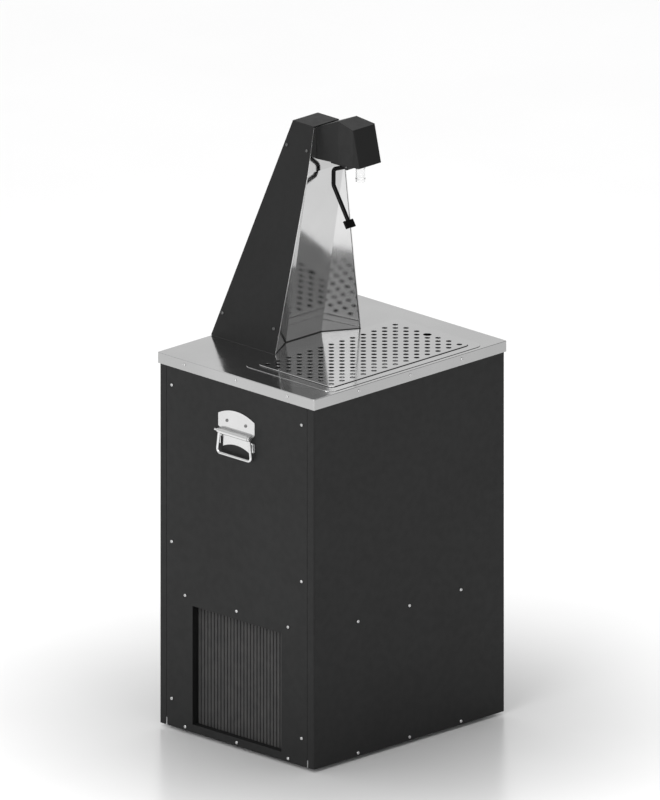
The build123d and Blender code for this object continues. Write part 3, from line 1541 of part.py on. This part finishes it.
plate_back_y = bay_plate_y - panel_sheet
with BuildPart() as water_valve:
    with Locations((water_at[0], plate_back_y - 0.3, water_at[1])):
        Box(40, 28, 34, align=(Align.CENTER, Align.MAX, Align.CENTER))
    with Locations((water_at[0], water_valve_y, water_at[1])):
        Cylinder(7, 24, align=UP)
    with Locations((water_at[0], 152, water_at[1])):
        Box(34, 42, 30)
    stub = ((water_d / 2, spigot_reach), (water_d / 2 + 3, 3.0), (water_d / 2 - 1.3, 0.0))
    for (radius, reach), depth in zip(stub, (spigot_reach - 3.0, 3.0, 12.0)):
        with BuildSketch(REAR.offset(-bay_depth + reach)):
            with Locations((-water_at[0], water_at[1])):
                Circle(radius)
        extrude(amount=-depth)
    with BuildSketch(REAR.offset(-bay_depth + spigot_reach)):
        with Locations((-water_at[0], water_at[1])):
            Circle(water_d / 2 - 4)
    extrude(amount=-spigot_reach - 6, mode=Mode.SUBTRACT)
water_valve.part.label = "water_valve"
export_step(water_valve.part, "parts/water_valve.step")

with BuildPart() as power_unit:
    with Locations((socket_at[0], plate_back_y - 0.3, (socket_at[1] + rocker_at[1]) / 2)):
        Box(56, 60, 88, align=(Align.CENTER, Align.MAX, Align.CENTER))
    with BuildSketch(REAR.offset(-bay_depth + 3)):
        with Locations((-socket_at[0], socket_at[1])):
            RectangleRounded(48, 28, 3)
        with Locations((-rocker_at[0], rocker_at[1])):
            RectangleRounded(30, 28, 2)
    extrude(amount=-10)
    with BuildSketch(REAR.offset(-bay_depth + 3)):
        with Locations((-socket_at[0], socket_at[1])):
            RectangleRounded(26, 18, 3)
        with Locations((-rocker_at[0], rocker_at[1])):
            Rectangle(24, 22.8)
    extrude(amount=-24, mode=Mode.SUBTRACT)
    with BuildSketch(REAR.offset(-bay_depth - 22)):
        with Locations((-socket_at[0], socket_at[1])):
            with Locations((-7, -2), (0, 3), (7, -2)):
                Rectangle(2, 4)
    extrude(amount=18)
power_unit.part.label = "power_unit"
export_step(power_unit.part, "parts/power_unit.step")

rocker_y = bay_plate_y - 8
with BuildPart() as power_rocker:
    with BuildSketch(Plane.YZ.offset(rocker_at[0])):
        with Locations((rocker_y, rocker_at[1])):
            Circle(3)
        with BuildLine():
            Polyline(
                (rocker_y - 2, rocker_at[1] - 3),
                (rocker_y + 9.5, rocker_at[1] - 8),
                (rocker_y + 10.5, rocker_at[1]),
                (rocker_y + 13, rocker_at[1] + 7.5),
                (rocker_y - 2, rocker_at[1] + 3),
                close=True,
            )
        make_face()
    extrude(amount=11.5, both=True)
power_rocker.part.label = "power_rocker"
export_step(power_rocker.part, "parts/power_rocker.step")
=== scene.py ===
import json
import math

import bpy
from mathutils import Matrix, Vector


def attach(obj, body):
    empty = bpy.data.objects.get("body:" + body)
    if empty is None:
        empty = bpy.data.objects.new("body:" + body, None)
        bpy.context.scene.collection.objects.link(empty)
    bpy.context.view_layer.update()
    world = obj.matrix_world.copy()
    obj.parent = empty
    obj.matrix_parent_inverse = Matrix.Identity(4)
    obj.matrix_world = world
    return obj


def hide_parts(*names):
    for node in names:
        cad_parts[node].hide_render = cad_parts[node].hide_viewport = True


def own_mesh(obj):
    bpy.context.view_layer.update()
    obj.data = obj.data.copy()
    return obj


# A chilled-drinks dispenser: looks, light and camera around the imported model.
# Metres.  X runs across the front, Y from front to rear, Z up.

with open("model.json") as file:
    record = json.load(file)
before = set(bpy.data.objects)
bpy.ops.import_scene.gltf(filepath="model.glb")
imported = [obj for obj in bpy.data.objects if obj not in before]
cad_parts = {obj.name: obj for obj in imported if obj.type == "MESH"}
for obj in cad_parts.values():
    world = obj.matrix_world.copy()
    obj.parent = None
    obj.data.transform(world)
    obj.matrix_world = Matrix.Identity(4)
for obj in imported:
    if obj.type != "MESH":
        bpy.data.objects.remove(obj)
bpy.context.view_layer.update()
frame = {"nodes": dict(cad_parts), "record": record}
nodes = frame["nodes"]


# ------------------------------------------------------------- node helpers
class Shader:
    """A material under construction, with short names for its nodes."""

    def __init__(self, name):
        self.material = bpy.data.materials.new(name)
        self.material.use_nodes = True
        self.tree = self.material.node_tree
        self.body = self.tree.nodes["Principled BSDF"]
        self.place = self.tree.nodes.new("ShaderNodeTexCoord").outputs["Object"]

    def node(self, kind, **settings):
        made = self.tree.nodes.new(kind)
        for key, value in settings.items():
            setattr(made, key, value)
        return made

    def link(self, source, target):
        self.tree.links.new(source, target)

    def stretched(self, stretch):
        """Object coordinates, in metres, scaled on each axis."""
        mapping = self.node("ShaderNodeMapping")
        mapping.inputs["Scale"].default_value = stretch
        self.link(self.place, mapping.inputs["Vector"])
        return mapping.outputs["Vector"]

    def noise(self, scale, detail, stretch=None, distortion=0.0):
        """Cloudy noise from 0 to 1, with about that many clouds in a metre."""
        made = self.node("ShaderNodeTexNoise")
        made.inputs["Scale"].default_value = scale
        made.inputs["Detail"].default_value = detail
        made.inputs["Distortion"].default_value = distortion
        self.link(self.stretched(stretch) if stretch else self.place, made.inputs["Vector"])
        return made.outputs["Fac"]

    def ramp(self, value, low, high, start=0.3, end=0.7):
        """A grey level or colour that goes from low to high as the value passes start to end."""
        made = self.node("ShaderNodeValToRGB")
        first, last = made.color_ramp.elements
        first.position, last.position = start, end
        made.color_ramp.interpolation = "EASE"
        first.color = low if isinstance(low, tuple) else (low, low, low, 1)
        last.color = high if isinstance(high, tuple) else (high, high, high, 1)
        self.link(value, made.inputs["Fac"])
        return made.outputs["Color"]

    def mix(self, factor, a, b, blend="MIX"):
        """Two colours mixed, each a plain value or another node's output."""
        made = self.node("ShaderNodeMix", data_type="RGBA", blend_type=blend)
        for socket, value in ((made.inputs[0], factor), (made.inputs[6], a), (made.inputs[7], b)):
            if isinstance(value, (int, float, tuple)):
                socket.default_value = value
            else:
                self.link(value, socket)
        return made.outputs[2]

    def math(self, operation, a, b=0.0):
        """A sum on two values, each a number or another node's output."""
        made = self.node("ShaderNodeMath", operation=operation)
        for socket, value in zip(made.inputs, (a, b)):
            if isinstance(value, (int, float)):
                socket.default_value = value
            else:
                self.link(value, socket)
        return made.outputs[0]

    def face_normal(self):
        return self.node("ShaderNodeNewGeometry").outputs["True Normal"]

    def facing(self, axis):
        """How far a face looks along X, Y or Z, from -1 to 1."""
        split = self.node("ShaderNodeSeparateXYZ")
        self.link(self.face_normal(), split.inputs[0])
        return split.outputs[axis]

    def rounded(self, radius):
        """Normals that turn smoothly over each edge."""
        bevel = self.node("ShaderNodeBevel", samples=4)
        bevel.inputs["Radius"].default_value = radius
        return bevel.outputs[0]

    def edges(self, rounded):
        """A mask that is 1 where rounded normals leave the face's own normal."""
        dot = self.node("ShaderNodeVectorMath", operation="DOT_PRODUCT")
        self.link(rounded, dot.inputs[0])
        self.link(self.face_normal(), dot.inputs[1])
        turn = self.math("SUBTRACT", 1.0, dot.outputs["Value"])
        return self.ramp(turn, 0.0, 1.0, start=0.02, end=0.25)

    def bump(self, height, strength, distance, normal=None):
        """Fine relief on top of the given normals."""
        made = self.node("ShaderNodeBump")
        made.inputs["Strength"].default_value = strength
        made.inputs["Distance"].default_value = distance
        self.link(height, made.inputs["Height"])
        if normal is not None:
            self.link(normal, made.inputs["Normal"])
        return made.outputs["Normal"]

    def finish(self, color, roughness, normal, **fixed):
        """Links the varying inputs, sets the uniform ones on their sockets, and hands it over."""
        self.link(color, self.body.inputs["Base Color"])
        self.link(normal, self.body.inputs["Normal"])
        if isinstance(roughness, float):
            self.body.inputs["Roughness"].default_value = roughness
        else:
            self.link(roughness, self.body.inputs["Roughness"])
        for name, value in fixed.items():
            self.body.inputs[name.replace("_", " ")].default_value = value
        return self.material


def grey(level, warm=0.0):
    """A grey colour, tinted a little towards red, or towards blue below zero."""
    return (level * (1 + warm), level, level * (1 - warm), 1)


# ---------------------------------------------------------------- materials
def powder_coat(name, low, high, rough, grain, shine, bare_front=False):
    """Fine-textured powder coat, its edges lightened in colour as a painted highlight.

    With bare_front, the faces that look straight forward are bare metal, as where a plate is cut.
    """
    s = Shader(name)
    rounded = s.rounded(radius=0.0009)
    color = s.ramp(s.noise(scale=7.0, detail=5), grey(low), grey(high, warm=-0.02))
    # Painted highlight: the colour is lightened where the rounded edge normals turn.
    edge_highlight = s.math("MULTIPLY", s.edges(rounded), 0.12)
    color = s.mix(edge_highlight, color, grey(high * 2.6))
    dust = s.ramp(s.noise(scale=55.0, detail=6), rough - 0.03, rough + 0.05)
    fine = s.bump(s.noise(grain, detail=2), strength=0.22, distance=0.00012, normal=rounded)
    broad = s.bump(s.noise(grain / 7, detail=2), strength=0.10, distance=0.0002, normal=fine)
    if bare_front:
        bare = s.math("LESS_THAN", s.facing("Y"), -0.8)
        color = s.mix(bare, color, grey(0.82))
        dust = s.mix(bare, dust, grey(0.30))
        s.link(bare, s.body.inputs["Metallic"])
    return s.finish(color, dust, broad, IOR=1.5, Specular_IOR_Level=shine)


def steel(name, level, rough, streak, along, edge_radius, lines, upright_unshaded=1.0):
    """Stainless sheet, finely scratched along one axis; a factor under 1 darkens its upright faces with
    painted shade, for the shadow along gaps and in hole walls.
    """
    s = Shader(name)
    rounded = s.rounded(edge_radius)
    across, with_grain = 900.0, 9.0
    stretch = [across, across, across]
    stretch["XYZ".index(along)] = with_grain
    scratch = s.noise(scale=1.0, detail=4, stretch=tuple(stretch))
    stain = s.noise(scale=5.0, detail=4, distortion=0.6)
    color = s.ramp(stain, grey(level * 0.93), grey(level))
    color = s.mix(s.math("MULTIPLY", scratch, 0.10), color, grey(level * 0.75))
    # Painted shade: upright faces are mixed towards near-black, standing in for shadow in gaps and
    # holes.
    if upright_unshaded < 1.0:
        painted_shade_mask = s.math("LESS_THAN", s.math("ABSOLUTE", s.facing("Z")), 0.5)
        color = s.mix(s.math("MULTIPLY", painted_shade_mask, 1.0 - upright_unshaded), color, grey(0.02))
    base = s.ramp(scratch, rough - streak, rough + streak)
    smudge = s.ramp(s.noise(scale=14.0, detail=6), 0.0, 0.05, start=0.45, end=0.8)
    normal = s.bump(scratch, strength=lines, distance=0.00008, normal=rounded)
    return s.finish(color, s.mix(1.0, base, smudge, "ADD"), normal, Metallic=1.0)


def galvanised_sheet(name):
    """Zinc-coated sheet with its pale crystal pattern."""
    s = Shader(name)
    spangle = s.node("ShaderNodeTexVoronoi")
    spangle.inputs["Scale"].default_value = 120.0
    s.link(s.place, spangle.inputs["Vector"])
    tone = s.ramp(spangle.outputs["Color"], grey(0.46), grey(0.62, warm=-0.01), start=0.1, end=0.9)
    rough = s.ramp(spangle.outputs["Color"], 0.30, 0.46, start=0.1, end=0.9)
    relief = s.noise(scale=260.0, detail=3)
    normal = s.bump(relief, strength=0.08, distance=0.0001, normal=s.rounded(radius=0.0005))
    return s.finish(tone, rough, normal, Metallic=1.0)


def plastic(name, low, high, rough, grain=700.0, depth=0.12, ior=1.47):
    """Moulded plastic or rubber with a fine grain."""
    s = Shader(name)
    color = s.ramp(s.noise(scale=18.0, detail=4), low, high)
    roughness = s.ramp(s.noise(scale=60.0, detail=5), rough - 0.04, rough + 0.06)
    relief = s.noise(grain, detail=2)
    normal = s.bump(relief, strength=depth, distance=0.0001, normal=s.rounded(radius=0.0006))
    return s.finish(color, roughness, normal, IOR=ior)


def clear_plastic_look(name):
    """Clear plastic, slightly hazed and wavy."""
    s = Shader(name)
    haze = s.ramp(s.noise(scale=90.0, detail=5), 0.02, 0.10, start=0.4, end=0.75)
    tint = s.ramp(s.noise(scale=30.0, detail=3), grey(0.95), grey(0.99))
    wave = s.bump(s.noise(scale=160.0, detail=2), strength=0.10, distance=0.0002)
    return s.finish(tint, haze, wave, Transmission_Weight=1.0, IOR=1.49)


def filter_cloth(name):
    """A fine dark weave, a little dusty."""
    s = Shader(name)
    weave = s.node("ShaderNodeTexChecker")
    weave.inputs["Scale"].default_value = 900.0
    s.link(s.place, weave.inputs["Vector"])
    dust = s.noise(scale=40.0, detail=5)
    color = s.ramp(dust, grey(0.034), grey(0.046, warm=0.02))
    color = s.mix(s.math("MULTIPLY", weave.outputs["Fac"], 0.30), color, grey(0.016))
    normal = s.bump(weave.outputs["Fac"], strength=0.3, distance=0.0003)
    return s.finish(color, roughness=0.72, normal=normal, IOR=1.45)


def foam_block(name):
    """Yellowish rigid foam with fine cells."""
    s = Shader(name)
    cells = s.node("ShaderNodeTexVoronoi")
    cells.inputs["Scale"].default_value = 420.0
    s.link(s.place, cells.inputs["Vector"])
    color = s.ramp(s.noise(scale=9.0, detail=4), (0.70, 0.58, 0.34, 1), (0.80, 0.70, 0.47, 1))
    normal = s.bump(cells.outputs["Distance"], strength=0.5, distance=0.0006)
    return s.finish(color, roughness=0.85, normal=normal)


def metal(name, low, high, rough, scale, metallic=1.0):
    """Cast, drawn or painted metal, mottled by handling and heat."""
    s = Shader(name)
    color = s.ramp(s.noise(scale, detail=6, distortion=0.4), low, high)
    roughness = s.ramp(s.noise(scale * 4, detail=5), rough - 0.06, rough + 0.08)
    relief = s.noise(scale * 30, detail=3)
    normal = s.bump(relief, strength=0.12, distance=0.0002, normal=s.rounded(radius=0.0008))
    return s.finish(color, roughness, normal, Metallic=metallic)


black = {"low": 0.0045, "high": 0.0060, "rough": 0.50, "grain": 1500.0, "shine": 0.30}
brushed = {"rough": 0.12, "streak": 0.03, "along": "X", "edge_radius": 0.0008, "lines": 0.10}
copper_low, copper_high = (0.52, 0.22, 0.11, 1), (0.80, 0.42, 0.26, 1)
brass_low, brass_high = (0.46, 0.32, 0.12, 1), (0.66, 0.50, 0.22, 1)
looks = {
    "black_powder": powder_coat("powder_black", **black),
    "tower_black": powder_coat("powder_plate", **black, bare_front=True),
    "hood_black": powder_coat(
        "powder_satin", low=0.0040, high=0.0050, rough=0.46, grain=1800.0, shine=0.28
    ),
    # The worktop and tray steels carry painted shade on their upright faces, heaviest on the tray.
    "brushed_stainless": steel("steel_worktop_painted_shade", level=0.67, upright_unshaded=0.72, **brushed),
    "tray_steel_painted_shade": steel("steel_tray_painted_shade", level=0.69, upright_unshaded=0.25, **brushed),
    "polished_stainless": steel(
        "steel_polished", level=0.63, rough=0.09, streak=0.02, along="Z", edge_radius=0.0006, lines=0.06
    ),
    "handle_steel": steel(
        "steel_handle", level=0.69, rough=0.17, streak=0.03, along="Y", edge_radius=0.0005, lines=0.05
    ),
    "screw_steel": metal("steel_screw", grey(0.56), grey(0.70), rough=0.26, scale=160.0),
    "screw_black": metal("oxide_screw", grey(0.10), grey(0.17), rough=0.30, scale=160.0),
    "screw_grey": metal("zinc_screw", grey(0.17), grey(0.26), rough=0.36, scale=160.0),
    "galvanised": galvanised_sheet("steel_galvanised"),
    "filter_black": filter_cloth("filter_mesh"),
    "rubber_black": plastic("rubber", grey(0.014), grey(0.022), rough=0.62, grain=500.0, depth=0.2),
    "valve_black": plastic("valve_moulding", grey(0.005), grey(0.008), rough=0.42, ior=1.35),
    "lever_black": plastic(
        "lever_gloss", grey(0.001), grey(0.002), rough=0.30, grain=300.0, depth=0.04, ior=1.20
    ),
    "clear_plastic": clear_plastic_look("nozzle_clear"),
    "spring_steel": metal("steel_spring", grey(0.58), grey(0.68), rough=0.24, scale=120.0),
    "white_plastic": plastic("fitting_white", grey(0.70), grey(0.80, warm=0.01), rough=0.38),
    "foam": foam_block("foam_rigid"),
    "copper": metal("copper_tube", copper_low, copper_high, rough=0.28, scale=24.0),
    "aluminium_fins": metal("fins", grey(0.60), grey(0.76), rough=0.34, scale=60.0),
    "motor_black": metal("enamel", grey(0.012), grey(0.020), rough=0.34, scale=14.0, metallic=0.0),
    "grey_plastic": plastic("moulding_grey", grey(0.050), grey(0.065), rough=0.46),
    "black_plastic": plastic("moulding_black", grey(0.010), grey(0.016), rough=0.30),
    "valve_brass": metal("brass_cast", brass_low, brass_high, rough=0.32, scale=40.0),
}

for part in frame["record"]["subparts"]:
    shown = nodes[part["node"]]
    shown.data.materials.clear()
    shown.data.materials.append(looks[part["material_slot"]])
# A few nodes look different from the rest of their slot; the drip tray and grid get the steel with
# heavier painted shade on its upright faces.
for name, look in (
    ("handle_screws", "screw_grey"),
    ("drip_tray", "tray_steel_painted_shade"),
    ("drip_grid", "tray_steel_painted_shade"),
    ("left_tower_side", "tower_black"),
    ("right_tower_side", "tower_black"),
):
    nodes[name].data.materials[0] = looks[look]


# ------------------------------------------------------------- valve spring
def coil_spring(name, x, y, low, high, radius, wire, turns):
    """A compression spring of round wire, with a flat half turn at each end."""
    per_turn, around = 28, 10
    end_turn = 0.5
    steps = round(per_turn * (turns + 2 * end_turn))
    points, faces = [], []
    for step in range(steps + 1):
        angle = 2 * math.pi * step / per_turn
        climb = min(max(step / per_turn - end_turn, 0.0), turns) / turns
        for side in range(around):
            tilt = 2 * math.pi * side / around
            reach = radius + wire / 2 * math.cos(tilt)
            height = low + wire / 2 + (high - low - wire) * climb + wire / 2 * math.sin(tilt)
            points.append((x + reach * math.cos(angle), y + reach * math.sin(angle), height))
    for step in range(steps):
        for side in range(around):
            a = step * around + side
            b = step * around + (side + 1) % around
            faces.append((a, a + around, b + around, b))
    faces.append(tuple(range(around)))
    faces.append(tuple(reversed(range(steps * around, (steps + 1) * around))))
    mesh = bpy.data.meshes.new(name)
    mesh.from_pydata(points, [], faces)
    mesh.polygons.foreach_set("use_smooth", [True] * len(mesh.polygons))
    made = bpy.data.objects.new(name, mesh)
    bpy.context.scene.collection.objects.link(made)
    return made


# The spring stands between the plunger's collar, which rises 4.4 mm, and the
# upper end of its bore.
spring_wire = 0.0010
spring_turns = 5
spring_inset = 0.0001
space = nodes["valve_spring"]
corners = [space.matrix_world @ Vector(corner) for corner in space.bound_box]
spring_x, spring_y = (sum(corner[axis] for corner in corners) / len(corners) for axis in (0, 1))
spring_low = min(corner.z for corner in corners) + spring_inset
spring_high = max(corner.z for corner in corners) - spring_inset
spring_radius = (max(corner.x for corner in corners) - spring_x) - spring_wire / 2 - spring_inset
spring = coil_spring(
    "plunger_spring",
    spring_x,
    spring_y,
    spring_low,
    spring_high,
    spring_radius,
    spring_wire,
    spring_turns,
)
spring.data.materials.append(looks["spring_steel"])
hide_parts("valve_spring")
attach(spring, "cabinet")
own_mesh(spring)


# -------------------------------------------------------------------- stage
def lay_floor(half_width):
    """A pale, slightly glossy floor with painted light: it glows more away from the cabinet, which
    leaves painted shadow near it.
    """
    corners = [(-1, -1), (1, -1), (1, 1), (-1, 1)]
    mesh = bpy.data.meshes.new("floor")
    mesh.from_pydata([(x * half_width, y * half_width, 0) for x, y in corners], [], [(0, 1, 2, 3)])
    s = Shader("floor_painted_glow")
    far = s.node("ShaderNodeVectorMath", operation="LENGTH")
    s.link(s.place, far.inputs[0])
    # The painted glow starts 0.26 m from the cabinet's middle and is full at 1.175 m; the darker floor
    # inside that ring is painted shadow around the cabinet.
    reach = 5.0
    distance = s.math("MULTIPLY", far.outputs["Value"], 1 / reach)
    painted_glow = s.ramp(distance, 0.0, 0.42, start=0.26 / reach, end=1.175 / reach)
    s.link(painted_glow, s.body.inputs["Emission Color"])
    tone = s.ramp(s.noise(scale=2.0, detail=3), grey(0.66), grey(0.68))
    relief = s.bump(s.noise(scale=300.0, detail=2), strength=0.03, distance=0.0002)
    mesh.materials.append(s.finish(tone, 0.24, relief, Emission_Strength=1.0, IOR=2.0))
    made = bpy.data.objects.new("floor", mesh)
    bpy.context.scene.collection.objects.link(made)
    return made


def surround(strength):
    """Plain white surroundings, brighter overhead and darker towards the front right."""
    world = bpy.data.worlds.new("studio")
    world.use_nodes = True
    tree = world.node_tree

    def ramp(value, first, last):
        """A grey between two ends, each the value it is at and its level."""
        made = tree.nodes.new("ShaderNodeValToRGB")
        for element, (position, level) in zip(made.color_ramp.elements, (first, last)):
            element.position = position
            element.color = grey(level)
        tree.links.new(value, made.inputs["Fac"])
        return made.outputs["Color"]

    direction = tree.nodes.new("ShaderNodeTexCoord").outputs["Generated"]
    split = tree.nodes.new("ShaderNodeSeparateXYZ")
    tree.links.new(direction, split.inputs[0])
    turned = tree.nodes.new("ShaderNodeVectorMath")
    turned.operation = "DOT_PRODUCT"
    turned.inputs[1].default_value = (0.64, -0.77, 0.0)
    tree.links.new(direction, turned.inputs[0])
    blend = tree.nodes.new("ShaderNodeMix")
    blend.data_type = "RGBA"
    blend.blend_type = "MULTIPLY"
    blend.inputs[0].default_value = 1.0
    tree.links.new(ramp(split.outputs["Z"], (0.0, 0.80), (1.0, 1.0)), blend.inputs[6])
    tree.links.new(ramp(turned.outputs["Value"], (0.15, 1.0), (0.85, 0.42)), blend.inputs[7])
    sky = tree.nodes["Background"].inputs
    tree.links.new(blend.outputs[2], sky["Color"])
    sky["Strength"].default_value = strength
    bpy.context.scene.world = world


def soft_box(name, place, target, size, power):
    """A rectangular light panel that faces a point."""
    data = bpy.data.lights.new(name, "AREA")
    data.shape = "RECTANGLE"
    data.size, data.size_y = size
    data.energy = power
    lamp = bpy.data.objects.new(name, data)
    lamp.location = place
    lamp.rotation_euler = (Vector(target) - Vector(place)).to_track_quat("-Z", "Y").to_euler()
    bpy.context.scene.collection.objects.link(lamp)


def look_from(azimuth, elevation, aim, frame_height, stand_off):
    """A camera without perspective; azimuth 0 looks from the front."""
    towards = Vector(
        (
            -math.sin(azimuth) * math.cos(elevation),
            math.cos(azimuth) * math.cos(elevation),
            -math.sin(elevation),
        )
    )
    data = bpy.data.cameras.new("camera")
    data.type = "ORTHO"
    data.ortho_scale = frame_height
    data.clip_end = 100
    made = bpy.data.objects.new("camera", data)
    made.location = Vector(aim) - towards * stand_off
    made.rotation_euler = towards.to_track_quat("-Z", "Y").to_euler()
    bpy.context.scene.collection.objects.link(made)
    bpy.context.scene.camera = made


floor = lay_floor(half_width=30)
surround(strength=0.84)
soft_box("key", place=(-3.2, -0.8, 2.3), target=(0, 0, 0.6), size=(2.2, 2.0), power=60)
soft_box("front_fill", place=(-0.6, -3.6, 1.6), target=(0, 0, 0.8), size=(2.0, 1.6), power=10)
soft_box("top", place=(0.2, 0.2, 3.6), target=(0, 0, 0.9), size=(2.6, 2.6), power=34)
look_from(
    azimuth=math.radians(-45),
    elevation=math.radians(18),
    aim=(-0.2749, -0.2682, 0.865),
    frame_height=1.76,
    stand_off=5,
)
bpy.context.scene.view_settings.view_transform = "Standard"
